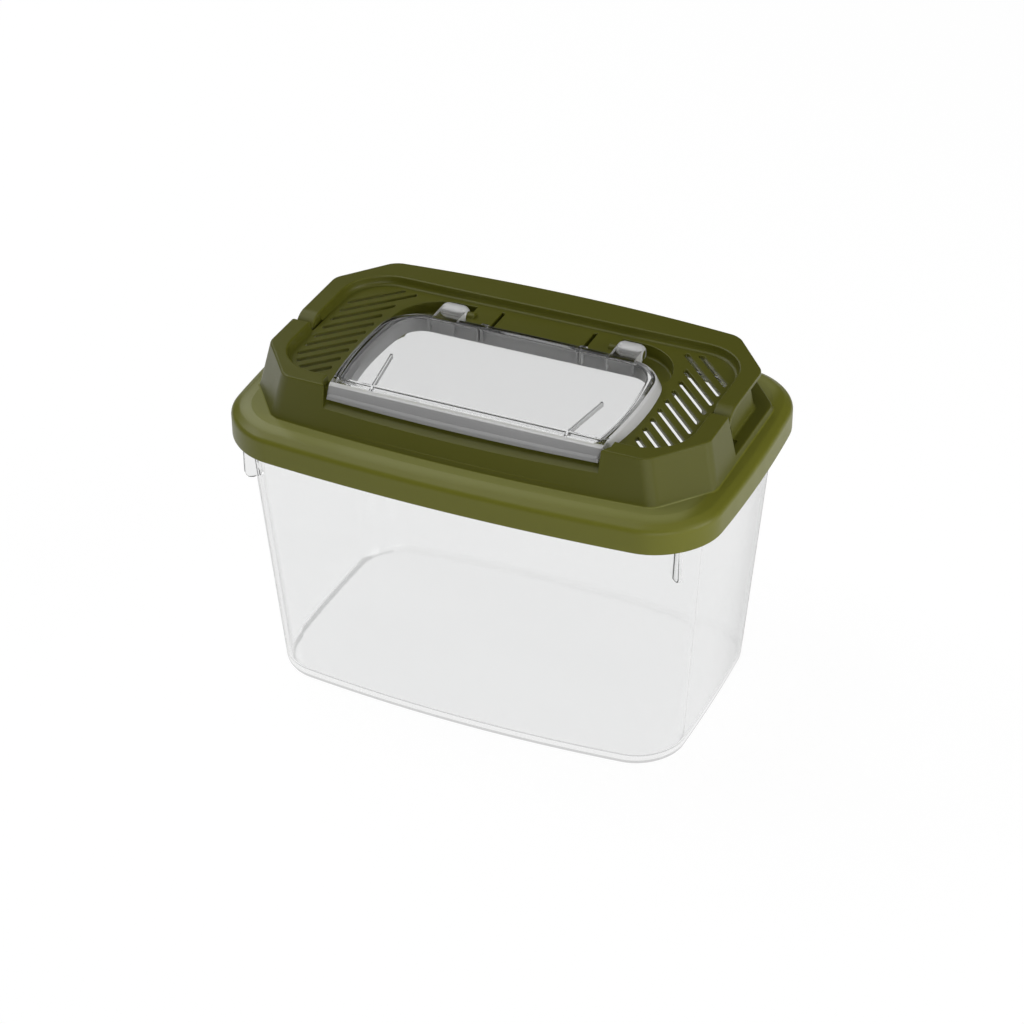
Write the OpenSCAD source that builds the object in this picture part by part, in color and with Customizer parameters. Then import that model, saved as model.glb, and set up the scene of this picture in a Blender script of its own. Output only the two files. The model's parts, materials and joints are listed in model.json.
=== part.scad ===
// A small pet keeper: a clear tank with drafted walls, a moulded lid with slotted
// grilles, a clear feeding door that hinges at its back, and a carrying handle that
// folds down flush round the back of the lid.
// The origin is the middle of the flat base, +Z is up and the front faces -Y.

/* [Tank] */
// Height of the tank to the top of its rim
tank_height = 115.8; // [90:0.1:150]
// Length of the base between its corners, without the bow of the ends
base_length = 168.3; // [140:0.1:176]
// Width of the base at its corners, without the bow of the front and back
base_width = 94.2; // [70:0.1:104]
// Corner radius of the base
base_radius = 17.2; // [8:0.1:24]
// How far the front and back of the base bow outwards
base_front_bow = 5.6; // [0:0.1:8]
// How far the ends of the base bow outwards
base_end_bow = 1.3; // [0:0.1:4]
// Gap in plan from the lid's outline to the top of the tank's wall
wall_top_inset = 5.9; // [4.8:0.1:9]
// Wall thickness of the tank
tank_wall = 1.8; // [1.2:0.1:3]
// Thickness of the tank's floor
floor_thickness = 2.4; // [1.5:0.1:5]
// Radius of the rounded bottom edge
bottom_round = 2.6; // [1:0.1:5]
// Thickness of the flange round the tank's mouth
flange_thickness = 2.8; // [1.5:0.1:5]
// Height of the sloped underside of the flange
flange_slope = 0.8; // [0.2:0.1:2]
// Gap between the edge of the flange and the lid's skirt
flange_gap = 0.6; // [0.4:0.1:1.2]
// Gap from the edge of the flange to the outer edge of a corner rib
rib_setback = 0.2; // [0:0.1:2]
// Height of a corner rib below the flange
rib_height = 22.5; // [8:0.5:40]
// Thickness of a corner rib
rib_thickness = 1.8; // [1:0.1:3]
// Radius of the lower corner of a rib
rib_round = 3; // [0.5:0.1:3.4]

/* [Lid] */
// Length of the lid's rim between its corners, without the bow of the ends
rim_length = 194; // [188:0.5:206]
// Width of the lid's rim at its corners, without the bow of the front and back
rim_width = 117.6; // [114:0.1:128]
// Corner radius of the rim
rim_radius = 22.8; // [16:0.1:28]
// How far the front and back of the rim bow outwards
front_bow = 5.1; // [2:0.1:8]
// How far the ends of the rim bow outwards
end_bow = 3; // [1:0.1:5]
// How far the skirt hangs down outside the tank
skirt_overlap = 9; // [5:0.1:14]
// Height of the upright skirt
skirt_height = 9.7; // [8:0.1:16]
// Wall thickness of the lid
lid_wall = 2; // [1.4:0.1:2.6]
// Width of the chamfer above the skirt
chamfer_width = 3.3; // [1:0.1:5]
// Height of the chamfer above the skirt
chamfer_rise = 1.8; // [0.5:0.1:4]
// Rise of the shoulder from the chamfer to the raised top
shoulder_rise = 0.8; // [0.3:0.1:2]
// Height of the raised top above the shoulder
plateau_height = 18.1; // [16.6:0.1:24]
// Half the length of the raised top at its upper edge
plateau_half_length = 89.1; // [88:0.1:91]
// Distance from the centre to the raised top's front edge
plateau_front = 45.8; // [44.5:0.1:47.5]
// Distance from the centre to the raised top's rear corners
plateau_rear = 49.3; // [48:0.1:51]
// How far the raised top's rear edge bows outwards
plateau_rear_bow = 3.9; // [0:0.1:5]
// Length of the corner cuts along the front and back
corner_cut_x = 16.5; // [10:0.1:20]
// Length of the corner cuts along the ends
corner_cut_y = 20.4; // [12:0.1:24]
// Radius that rounds the corners of the raised top
corner_round = 7; // [2:0.5:12]
// How far the foot of the raised top stands out at its ends
end_draft = 4.1; // [2:0.1:5]
// How far the foot of the raised top stands out at its front and back
front_draft = 2.7; // [1.5:0.1:4]
// How far the foot's front and back edges bow outwards
foot_bow = 3.7; // [0:0.1:4.5]
// Depth of the sunk floor of the lid
recess_depth = 3.8; // [3.2:0.1:5]
// Half the length of the sunk floor
recess_half_length = 81.8; // [80.6:0.1:83.4]
// Distance from the centre to the sunk floor's front edge
recess_front = 38.5; // [37:0.1:40]
// Distance from the centre to the sunk floor's rear edge
recess_rear = 39; // [37.5:0.1:41]
// Corner radius of the sunk floor
recess_radius = 18; // [8:0.5:24]

/* [Grilles] */
// Angle of the slots' long sides from the front-to-back line
slot_angle = 44; // [30:1:60]
// Distance from the centre, across the slots, to the first slot's middle
slot_start = 25.2; // [20:0.1:30]
// Slots in each grille
slot_count = 10; // [4:1:12]
// Distance from one slot to the next
slot_pitch = 4.93; // [3.6:0.01:6]
// Width of a slot
slot_width = 1.9; // [1.2:0.1:3]
// Width of the plain border round a grille
grille_border = 3.2; // [2:0.1:6]
// Gap from the door to the inner ends of the slots
grille_gap = 5.6; // [4:0.1:10]

/* [Door] */
// Half the width of the door's clear top
door_half_width = 56; // [50:0.1:57]
// Distance from the centre to the door's front edge
door_front = 40.3; // [38.5:0.1:41.5]
// Distance from the centre to the door's rear edge
door_rear = 20.6; // [17:0.1:21.4]
// Radius of the door's rear corners
door_rear_radius = 17; // [8:0.5:22]
// Radius of the door's front corners
door_front_radius = 4; // [2:0.5:8]
// Thickness of the door's top and sides
door_wall = 1.5; // [1:0.1:2]
// How far the foot of the door's sides flares out
door_flare = 1.8; // [0.5:0.1:2.4]
// How far the door's inner skirt hangs below its top
plug_depth = 9.7; // [6:0.1:14]
// Gap from the door's outline to its inner skirt
plug_inset = 1.8; // [1:0.1:3]
// Clearance between the door's inner skirt and the lid's opening
plug_clearance = 0.7; // [0.5:0.1:1.2]
// How far the lip reaches in front of the door's front edge
lip_reach = 7.2; // [4:0.1:8]
// How far the lip drops below the door's top
lip_drop = 4.8; // [3:0.1:5.4]
// Width of the lid's flat rail in front of the door's opening
front_rail = 2.7; // [2:0.1:4]
// Thickness of the lip's front edge
lip_edge = 1.5; // [1:0.1:2]
// Length of the eased edge between the door's top and its lip
brow_length = 2.5; // [1:0.1:3.5]
// Drop of the eased edge
brow_drop = 0.9; // [0.3:0.1:1.5]
// Reach of the gusset ribs behind the door's front edge
gusset_length = 26; // [10:0.5:32]
// How far a gusset rib leans outwards towards its rear end
gusset_splay = 4; // [0:0.5:6]
// Thickness of a gusset rib
gusset_thickness = 1; // [0.6:0.1:2]
// Distance from the centre to a gusset rib's front end
gusset_x = 38.5; // [20:0.5:46]
// Depth of a gusset rib below the door's top
gusset_depth = 2; // [0.8:0.1:2]

/* [Door hinge] */
// Distance from the centre back to the hinge line
hinge_y = 28; // [27.4:0.1:29]
// Drop of the hinge line below the raised top
hinge_drop = 4.2; // [4:0.1:4.8]
// Radius of the hinge pins on the lid
hinge_pin_radius = 2; // [1.4:0.1:2.2]
// Radial clearance between a pin and its clip
hinge_clearance = 0.08; // [0.03:0.01:0.1]
// Outer radius of the door's clips
clip_radius = 4; // [3.4:0.1:4.2]
// Distance from the centre to the inner end of a clip
clip_start = 31; // [29:0.5:33]
// Width of a clip
clip_width = 11.5; // [6:0.5:13]
// Thickness of the web between the door and a clip
clip_web = 3.6; // [2:0.1:3.8]
// Width of the slot that lets a clip snap over its pin
clip_slot = 3.2; // [2:0.1:3.4]
// Width of the lug that carries a pin
lug_width = 6; // [3:0.5:8]
// Half the width of the plain bar between the hinge wells
hinge_bar_half = 18.6; // [10:0.1:20]
// How far a hinge pin stands out of its clip
pin_overhang = 1; // [0:0.5:4]
// Depth of the hinge wells below the sunk floor
well_depth = 5.4; // [5:0.1:7]
// Gap between a clip and the back of its well
well_gap = 3.5; // [2:0.1:3.8]

/* [Handle] */
// Distance from the centre back to the handle's pivot line
pivot_y = 2; // [0:0.1:4]
// Radius of the rounded end of an arm, from the pivot to its top
arm_radius = 8; // [6.5:0.1:8.4]
// Thickness of the handle's top
handle_thickness = 2; // [1.4:0.1:2.6]
// Thickness of the handle's inner flange
handle_flange = 1.6; // [1:0.1:2]
// Gap between the inner flange and the sunk floor
flange_lift = 0.3; // [0.2:0.1:1]
// Radius of the handle's pivot pins
pivot_pin_radius = 2; // [1.5:0.1:2.1]
// Length of a pivot pin
pivot_pin_length = 3.5; // [2:0.5:5]
// Radial clearance of a pivot pin in its bore
pivot_clearance = 0.08; // [0.03:0.01:0.1]
// Thickness of the ear that carries a pivot pin
ear_thickness = 2.4; // [1.6:0.1:3]
// Gap between a moving piece and the faces beside it
side_gap = 0.5; // [0.3:0.05:0.8]
// Space behind the ear in its pocket
pocket_space = 1; // [1:0.5:6]
// Width of the ledge below the handle that a finger rests on
ledge_width = 5; // [3:0.1:5.2]
// Height of the ledge above the shoulder
ledge_height = 2.4; // [2:0.1:6]
// Lean of the lid's end and back walls above the ledge
scoop_lean = 1.7; // [0.5:0.1:1.9]

/* [Hidden] */
clear_colour = [0.86, 0.88, 0.88, 0.35];
olive = [0.38, 0.37, 0.15];
overlap = 0.05;
past = 5;
arc_steps = 5;
straight = [1, 1, 1, 1];
curved = [8, 5, 8, 5];
top_front_bow = 0.3;
skirt_bottom_z = tank_height - skirt_overlap;
skirt_top_z = skirt_bottom_z + skirt_height;
chamfer_top_z = skirt_top_z + chamfer_rise;
shoulder_z = chamfer_top_z + shoulder_rise;
plateau_z = shoulder_z + plateau_height;
recess_z = plateau_z - recess_depth;
ceiling_z = recess_z - lid_wall;
flange_inset = lid_wall + flange_gap;
foot_half_length = plateau_half_length + end_draft;
foot_front = plateau_front + front_draft;
foot_rear = plateau_rear + front_draft + 0.8;
hinge_z = plateau_z - hinge_drop;
well_z = recess_z - well_depth;
pivot_z = plateau_z - arm_radius;
block_back_y = pivot_y - arm_radius - side_gap;
pocket_wall_x = recess_half_length - side_gap;
pocket_back_y = pivot_y + arm_radius - handle_thickness + pocket_space;
pocket_floor_z = pivot_z - arm_radius - side_gap;
ledge_inset = end_draft * ledge_height / plateau_height;
ledge_z = shoulder_z + ledge_height;
ledge_fall = 0.2;
ear_x = pocket_wall_x + side_gap;
clip_end = clip_start + clip_width;
opening_inset = plug_inset - plug_clearance;
well_half_length = door_half_width + 1.5;
well_rear = hinge_y + clip_radius + well_gap;
well_front = door_rear - door_rear_radius / 2;
well_radius = door_rear_radius + 3;
notch_half = door_half_width + 1.7;

// Outlines

function unit(v) = v / norm(v);

// Arc of a given radius that rounds vertex v between its neighbours p and n
function fillet(p, v, n, radius) =
    let (
        a = unit(p - v),
        b = unit(n - v),
        half = acos(a * b) / 2,
        start = v + a * radius / tan(half),
        centre = v + unit(a + b) * radius / sin(half),
        from = atan2(start.y - centre.y, start.x - centre.x),
        turn = 180 - 2 * half
    )
    [for (k = [0:arc_steps])
        centre + radius * [cos(from + turn * k / arc_steps), sin(from + turn * k / arc_steps)]];

// A convex polygon, counterclockwise, with rounded corners; parts says into how many
// lengths each side is divided, so that it can be bowed
function soft_polygon(corners, radii, parts) =
    let (
        n = len(corners),
        arcs = [for (i = [0:n - 1])
            fillet(corners[(i + n - 1) % n], corners[i], corners[(i + 1) % n], radii[i])]
    )
    [for (i = [0:n - 1]) each concat(
        arcs[i],
        [for (k = [1:1:parts[i] - 1])
            arcs[i][arc_steps] * (1 - k / parts[i]) + arcs[(i + 1) % n][0] * k / parts[i]]
    )];

// Pushes the sides of an outline out along parabolas: front, back and both ends
function bowed(points, half_x, half_y, front, back, ends) =
    [for (p = points)
        let (
            side = p.y < 0 ? front : back,
            along_x = max(0, 1 - pow(p.x / half_x, 2)),
            along_y = max(0, 1 - pow(p.y / half_y, 2))
        )
        [
            p.x + sign(p.x) * ends * along_y * min(1, abs(p.x) / half_x),
            p.y + sign(p.y) * side * along_x * min(1, abs(p.y) / half_y)
        ]];

function rounded_box(left, right, front, back, front_radius, back_radius, parts = straight) =
    soft_polygon(
        [[left, front], [right, front], [right, back], [left, back]],
        [front_radius, front_radius, back_radius, back_radius],
        parts
    );

// How far an outline reaches along its diagonal
function diagonal_reach(points) = max([for (p = points) (p.x + p.y) / sqrt(2)]);

// Outline of the tank's base, drawn in by inset
function base_outline(inset) =
    let (x = base_length / 2 - inset, y = base_width / 2 - inset)
    bowed(rounded_box(-x, x, -y, y, base_radius - inset, base_radius - inset, curved),
        x, y, base_front_bow, base_front_bow, base_end_bow);

// Outline of the lid's rim, drawn in by inset
function rim_outline(inset) =
    let (x = rim_length / 2 - inset, y = rim_width / 2 - inset)
    bowed(rounded_box(-x, x, -y, y, rim_radius - inset, rim_radius - inset, curved),
        x, y, front_bow, front_bow, end_bow);

// Eight-sided outline of the raised top
function plateau_outline(half_x, front, back, front_out, back_out) =
    let (cut_x = half_x - corner_cut_x)
    bowed(
        soft_polygon(
            [
                [-cut_x, -front],
                [cut_x, -front],
                [half_x, corner_cut_y - front],
                [half_x, back - corner_cut_y],
                [cut_x, back],
                [-cut_x, back],
                [-half_x, back - corner_cut_y],
                [-half_x, corner_cut_y - front]
            ],
            [for (i = [0:7]) corner_round],
            [8, 1, 1, 1, 8, 1, 1, 1]
        ),
        cut_x, min(front, back), front_out, back_out, 0
    );

function plateau_top(inset = 0) =
    plateau_outline(plateau_half_length - inset, plateau_front - inset, plateau_rear - inset,
        top_front_bow, plateau_rear_bow);

function plateau_foot(inset = 0) =
    plateau_outline(foot_half_length - inset, foot_front - inset, foot_rear - inset,
        foot_bow, plateau_rear_bow);

function recess_outline(grow = 0) =
    rounded_box(-recess_half_length - grow, recess_half_length + grow,
        -recess_front - grow, recess_rear + grow, recess_radius + grow, recess_radius + grow);

function door_outline(grow = 0) =
    rounded_box(-door_half_width - grow, door_half_width + grow, -door_front - grow,
        door_rear + grow, door_front_radius + grow, door_rear_radius + grow);

// A closed solid through a stack of outlines that have equally many points
module loft(outlines, heights) {
    n = len(outlines[0]);
    last = len(outlines) - 1;
    points = [for (i = [0:last]) for (p = outlines[i]) [p.x, p.y, heights[i]]];
    sides = [for (i = [0:last - 1]) for (k = [0:n - 1])
        let (j = (k + 1) % n)
        [i * n + k, (i + 1) * n + k, (i + 1) * n + j, i * n + j]];
    bottom = [for (k = [0:n - 1]) k];
    top = [for (k = [0:n - 1]) last * n + n - 1 - k];
    polyhedron(points, concat(sides, [bottom, top]), convexity = 6);
}

module prism(outline, low, high) {
    translate([0, 0, low])
        linear_extrude(high - low)
            polygon(outline);
}

// A box given by its low and high corners
module block(low, high) {
    translate(low)
        cube(high - low);
}

// A cylinder along +X from x0 to x1, round the line through y and z
module rod(radius, x0, x1, y, z) {
    translate([x0, y, z])
        rotate([0, 90, 0])
            cylinder(r = radius, h = x1 - x0, $fn = 48);
}

// A profile drawn in Y and Z, carried along X from x0 to x1
module along_x(profile, x0, x1) {
    translate([x0, 0, 0])
        rotate([90, 0, 90])
            linear_extrude(x1 - x0)
                polygon(profile);
}

// Makes its child at both ends of the object
module both_ends() {
    children();
    mirror([1, 0, 0])
        children();
}

// Tank

module tank_shell() {
    wall_top_z = tank_height - flange_thickness;
    round_drop = bottom_round * (1 - cos(45));
    inner_top = rim_outline(wall_top_inset + tank_wall);
    outside = [
        base_outline(bottom_round),
        base_outline(round_drop),
        base_outline(0),
        rim_outline(wall_top_inset),
        rim_outline(flange_inset),
        rim_outline(flange_inset)
    ];
    inside = [
        inner_top,
        base_outline(tank_wall),
        base_outline(tank_wall + round_drop),
        base_outline(tank_wall + bottom_round)
    ];
    outside_z = [
        0,
        round_drop,
        bottom_round,
        wall_top_z - flange_slope,
        wall_top_z,
        tank_height
    ];
    inside_z = [
        tank_height,
        floor_thickness + bottom_round,
        floor_thickness + round_drop,
        floor_thickness
    ];
    loft(concat(outside, inside), concat(outside_z, inside_z));
}

// A thin plate on the diagonal of a corner, under the flange
module corner_rib() {
    corner_x = rim_length / 2 - rim_radius;
    corner_y = rim_width / 2 - rim_radius;
    corner = (corner_x + corner_y) / sqrt(2);
    root = diagonal_reach(rim_outline(wall_top_inset)) - corner - tank_wall / 2;
    tip = diagonal_reach(rim_outline(flange_inset)) - corner - rib_setback;
    top_z = tank_height - flange_thickness + overlap;
    low_z = top_z - rib_height;
    bend_centre = [tip - rib_round, low_z + rib_round];
    bend = [for (k = [0:arc_steps])
        bend_centre + rib_round * [sin(90 * k / arc_steps), -cos(90 * k / arc_steps)]];
    translate([corner_x, corner_y, 0])
        rotate([0, 0, 45])
            translate([0, rib_thickness / 2, 0])
                rotate([90, 0, 0])
                    linear_extrude(rib_thickness)
                        polygon(concat([[root, top_z], [root - 1, low_z]], bend, [[tip, top_z]]));
}

module tank() {
    color(clear_colour) {
        tank_shell();
        for (side = [0, 1])
            mirror([0, side, 0])
                both_ends()
                    corner_rib();
    }
}

// Lid

// Raised front band of the lid with its two corner blocks, drawn in by inset
module front_block(inset) {
    intersection() {
        loft(
            [plateau_foot(inset), plateau_foot(inset), plateau_top(inset)],
            [tank_height - overlap, shoulder_z, plateau_z - inset]
        );
        block([-rim_length, -rim_width, 0], [rim_length, block_back_y - inset, plateau_z + past]);
    }
}

// Raised back of the lid with the ledge and the leaning wall under the handle, drawn in by inset
module scooped_back(inset) {
    wall_inset = inset + ledge_inset + ledge_width;
    loft(
        [
            plateau_foot(inset),
            plateau_foot(inset),
            plateau_foot(inset + ledge_inset),
            plateau_foot(wall_inset),
            plateau_foot(wall_inset + scoop_lean)
        ],
        [tank_height - overlap, shoulder_z - inset, ledge_z - inset, ledge_z + ledge_fall - inset, recess_z - inset]
    );
}

// Solid outside of the lid, before it is hollowed
module lid_body() {
    loft(
        [rim_outline(0), rim_outline(0), rim_outline(chamfer_width), rim_outline(chamfer_width * 2)],
        [skirt_bottom_z, skirt_top_z, chamfer_top_z, shoulder_z]
    );
    front_block(0);
    scooped_back(0);
}

// Space under the lid: inside the skirt, and up under the raised top
module lid_hollow() {
    prism(rim_outline(lid_wall), skirt_bottom_z - past, tank_height);
    front_block(lid_wall);
    scooped_back(lid_wall);
}

// Outline of the hinge wells, grown by grow
function well_outline(grow = 0) =
    rounded_box(-well_half_length - grow, well_half_length + grow, -recess_front, well_rear + grow,
        lid_wall, well_radius + grow);

// Walls kept inside the hollow: under the sunk floor, and round the wells, pockets and notch
module lid_liners() {
    prism(recess_outline(lid_wall), ceiling_z, plateau_z);
    front_slope(lid_wall);
    both_ends() {
        intersection() {
            prism(well_outline(lid_wall), well_z - lid_wall, recess_z);
            block([hinge_bar_half - lid_wall, well_front - lid_wall, 0], [rim_length, rim_width, recess_z]);
        }
        block([pocket_wall_x - lid_wall, block_back_y - lid_wall, pocket_floor_z - lid_wall],
            [rim_length, pocket_back_y + lid_wall, recess_z]);
        rod(pivot_pin_radius + lid_wall, pocket_wall_x - pivot_pin_length - lid_wall, pocket_wall_x,
            pivot_y, pivot_z);
    }
}

// Everything cut into the lid from above or from its end, on the +X side
module lid_side_cuts() {
    block([pocket_wall_x, block_back_y, pocket_floor_z],
        [rim_length, pocket_back_y, plateau_z + past]);
    rod(pivot_pin_radius + pivot_clearance, pocket_wall_x - pivot_pin_length, pocket_wall_x + past,
        pivot_y, pivot_z);
    intersection() {
        prism(well_outline(), well_z, plateau_z + past);
        block([hinge_bar_half, well_front, 0], [rim_length, rim_width, plateau_z + past * 2]);
    }
    grille_slots();
}

// Slanted slots, cut to the crescent between the door and the rim of the sunk floor
module grille_slots() {
    translate([0, 0, ceiling_z - overlap])
        linear_extrude(lid_wall + past)
            intersection() {
                difference() {
                    polygon(recess_outline(-grille_border));
                    polygon(rounded_box(-door_half_width - grille_gap, door_half_width + grille_gap,
                        -rim_width, well_rear, lid_wall, well_radius + grille_gap));
                }
                for (i = [0:slot_count - 1])
                    rotate([0, 0, slot_angle])
                        translate([slot_start + i * slot_pitch - slot_width / 2, -rim_width])
                            square([slot_width, rim_width * 2]);
                translate([door_half_width, -rim_width])
                    square([rim_length, rim_width * 2]);
            }
}

// Everything above the slope that the door's lip hangs over; a drop lowers and widens it
module front_slope(drop = 0) {
    top_y = -door_front + opening_inset - front_rail;
    reach = recess_z - shoulder_z - 1;
    along_x([
        [-recess_front + 1, recess_z - drop * 1.4],
        [top_y, recess_z - drop * 1.4],
        [top_y - reach, recess_z - drop * 1.4 - reach],
        [top_y - reach, plateau_z + past],
        [-recess_front + 1, plateau_z + past]
    ], -notch_half - drop, notch_half + drop);
}

// A lug on the floor of a hinge well, with the pin that a door clip snaps over
module hinge_lug() {
    lug_end = clip_start - side_gap;
    rod(clip_radius, lug_end - lug_width, lug_end, hinge_y, hinge_z);
    block([lug_end - lug_width, hinge_y - clip_radius, well_z - overlap],
        [lug_end, hinge_y + clip_radius, hinge_z]);
    rod(hinge_pin_radius, lug_end - overlap, clip_end + pin_overhang, hinge_y, hinge_z);
}

module lid() {
    color(olive) {
        difference() {
            lid_body();
            difference() {
                lid_hollow();
                lid_liners();
            }
            prism(recess_outline(), recess_z, plateau_z + past);
            prism(door_outline(-opening_inset), shoulder_z, plateau_z + past);
            front_slope();
            both_ends()
                lid_side_cuts();
        }
        both_ends()
            hinge_lug();
    }
}

// Feeding door

// The raised clear top with its flared sides
module door_cap() {
    difference() {
        loft([door_outline(door_flare), door_outline()], [recess_z, plateau_z]);
        loft([door_outline(door_flare - door_wall), door_outline(-door_wall)],
            [recess_z - overlap, plateau_z - door_wall]);
    }
    difference() {
        prism(door_outline(-plug_inset), plateau_z - plug_depth, plateau_z - door_wall / 2);
        prism(door_outline(-plug_inset - door_wall), plateau_z - plug_depth - past,
            plateau_z - door_wall);
    }
}

// The sloping finger lip along the front
module door_lip() {
    brow_y = -door_front - brow_length;
    brow_z = plateau_z - brow_drop;
    tip_y = -door_front - lip_reach;
    tip_z = plateau_z - lip_drop;
    under_z = plateau_z - door_wall * sqrt(2);
    along_x([
        [-door_front + door_wall, plateau_z],
        [-door_front, plateau_z],
        [brow_y, brow_z],
        [tip_y, tip_z],
        [tip_y, tip_z - lip_edge],
        [tip_y + lip_edge, tip_z - lip_edge],
        [brow_y + door_wall / 2, under_z - brow_drop],
        [-door_front + door_wall, under_z]
    ], -door_half_width, door_half_width);
}

// A thin rib under the door's top that stiffens the lip
module gusset() {
    translate([gusset_x, -door_front, plateau_z - gusset_depth - door_wall + overlap])
        rotate([0, 0, -atan2(gusset_splay, gusset_length)])
            cube([gusset_thickness, gusset_length, gusset_depth]);
}

// A clip on the back of the door, open below, round a hinge pin
module door_clip() {
    difference() {
        union() {
            rod(clip_radius, clip_start, clip_end, hinge_y, hinge_z);
            block([clip_start, door_rear - door_wall, plateau_z - door_wall - clip_web],
                [clip_end, hinge_y, plateau_z - door_wall]);
        }
        rod(hinge_pin_radius + hinge_clearance, clip_start - past, clip_end + past, hinge_y, hinge_z);
        block([clip_start - past, hinge_y - clip_slot / 2, hinge_z - clip_radius - past],
            [clip_end + past, hinge_y + clip_slot / 2, hinge_z]);
    }
}

module feeding_door() {
    color(clear_colour) {
        door_cap();
        door_lip();
        both_ends() {
            gusset();
            door_clip();
        }
    }
}

// Carrying handle

module handle_top() {
    difference() {
        prism(plateau_top(), plateau_z - handle_thickness, plateau_z);
        prism(recess_outline(), 0, plateau_z + past);
        block([-rim_length, -rim_width, 0], [rim_length, pivot_y, plateau_z + past]);
    }
}

module handle_rim() {
    difference() {
        prism(recess_outline(handle_flange), recess_z + flange_lift, plateau_z - handle_thickness / 2);
        prism(recess_outline(), 0, plateau_z + past);
        block([-rim_length, -rim_width, 0], [rim_length, pivot_y, plateau_z + past]);
    }
}

// The rounded front end of an arm, with the ear and pivot pin behind it
module arm_end() {
    difference() {
        intersection() {
            rod(arm_radius, ear_x, plateau_half_length, pivot_y, pivot_z);
            block([0, -rim_width, pivot_z], [rim_length, pivot_y + overlap, plateau_z + past]);
        }
        rod(arm_radius - handle_thickness, ear_x + ear_thickness, rim_length, pivot_y, pivot_z);
    }
    rod(arm_radius - handle_thickness, ear_x, ear_x + ear_thickness, pivot_y, pivot_z);
    block([ear_x, pivot_y, pivot_z],
        [ear_x + ear_thickness, pivot_y + arm_radius - handle_thickness, plateau_z - handle_thickness / 2]);
    rod(pivot_pin_radius, ear_x - pivot_pin_length, ear_x + overlap, pivot_y, pivot_z);
}

module carry_handle() {
    color(olive) {
        handle_top();
        handle_rim();
        both_ends()
            arm_end();
    }
}

tank();
lid();
feeding_door();
carry_handle();
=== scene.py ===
import json
import math

import bmesh
import bpy
from mathutils import Matrix, Vector

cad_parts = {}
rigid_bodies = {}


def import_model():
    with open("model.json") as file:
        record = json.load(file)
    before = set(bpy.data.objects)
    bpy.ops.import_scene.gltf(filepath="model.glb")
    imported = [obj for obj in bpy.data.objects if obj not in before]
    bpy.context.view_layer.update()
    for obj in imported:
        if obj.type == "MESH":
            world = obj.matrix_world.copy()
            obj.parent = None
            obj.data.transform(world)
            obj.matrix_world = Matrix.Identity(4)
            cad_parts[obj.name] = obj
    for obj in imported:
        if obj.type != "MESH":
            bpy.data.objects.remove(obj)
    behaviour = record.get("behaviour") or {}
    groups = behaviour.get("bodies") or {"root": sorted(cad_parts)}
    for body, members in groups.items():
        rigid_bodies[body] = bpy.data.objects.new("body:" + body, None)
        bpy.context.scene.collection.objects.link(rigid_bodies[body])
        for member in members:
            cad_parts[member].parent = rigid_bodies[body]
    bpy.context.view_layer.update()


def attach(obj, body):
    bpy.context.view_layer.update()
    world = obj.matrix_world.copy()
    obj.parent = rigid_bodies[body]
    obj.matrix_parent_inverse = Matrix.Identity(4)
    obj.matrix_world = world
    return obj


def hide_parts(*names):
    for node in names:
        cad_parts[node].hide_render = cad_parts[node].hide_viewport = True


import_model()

# All lengths below are in millimetres, as in the part's source, until a piece is finished.
MM = 0.001

# Tank: half length, half width and corner radius of the base, and heights
BASE_HALF_X, BASE_HALF_Y, BASE_RADIUS = 84.15, 47.1, 17.2
TANK_TOP = 115.8
TANK_WALL = 1.8
RIB_THICKNESS = 1.8

# Lid: half length, half width and corner radius of the rim, and heights
RIM_HALF_X, RIM_HALF_Y, RIM_RADIUS = 97.0, 58.8, 22.8
SKIRT_FOOT = 106.8
SKIRT_TOP = 116.5
SHOULDER = 119.1
TOP = 137.2
SUNK_FLOOR = 133.4
WELL_FLOOR = 128.0
POCKET_FLOOR = 120.7
LID_WALL = 2.0

# From the rim's outline in to the tank's wall and to its flange
WALL_INSET = 5.9
FLANGE_INSET = 2.6

# Raised top: half length, front and rear at its foot and at its top, how far its sides bow out,
# and how its corners are cut and rounded
FOOT_HALF, FOOT_FRONT, FOOT_REAR = 93.2, 48.5, 52.8
TOP_HALF, TOP_FRONT, TOP_REAR = 89.1, 45.8, 49.3
FOOT_BOW, TOP_BOW, REAR_BOW = 3.7, 0.3, 3.9
CORNER_CUT, CORNER_RUN, CORNER_ROUND = 16.5, 20.4, 7.0
BLOCK_BACK = -6.5

# Openings, hinge wells (left, right, front and back of the right-hand one) and pockets in the lid
NOTCH_HALF = 57.7
NOTCH_SLOPE_Y = -41.9
WELL_LEFT, WELL_RIGHT, WELL_FRONT, WELL_REAR = 18.6, 57.5, 12.1, 35.5
SLOT_COUNT, SLOT_PITCH, SLOT_START, SLOT_ANGLE = 10, 4.93, 25.2, 44.0
SLOT_HALF = 0.95
POCKET_WALL = 80.7
POCKET_BACK = 9.0
EAR_ROOM = 84.8
ARM_ROOM = 89.8
ARM_ROOM_BACK = 2.7

# Feeding door: its clips turn on pins along this line, and its outlines are set round its middle
HINGE_Y, HINGE_Z = 28.0, 133.0
DOOR_MIDDLE = -11.0
DOOR_HALF = 55.0
DOOR_WALL = 1.5
PANE_UNDERSIDE = 135.7
BROW_Y = -42.8

# Carrying handle: pivot line, ears and arms
PIVOT_Y, PIVOT_Z = 2.0, 129.2
PIN_RADIUS = 2.0
BORE_RADIUS = 2.08
EAR_INSIDE, EAR_OUTSIDE = 81.8, 84.2

# How finely curves are drawn
ROUND_STEPS = 8
LONG_PARTS = (28, 16, 28, 16)
DOOR_PARTS = (1, 14, 24, 14)
DOOR_STEPS = 14

# Height clear above the lid, where its cutters end
ABOVE = 140.0


# Outlines, as lists of points in plan, counterclockwise

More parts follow.
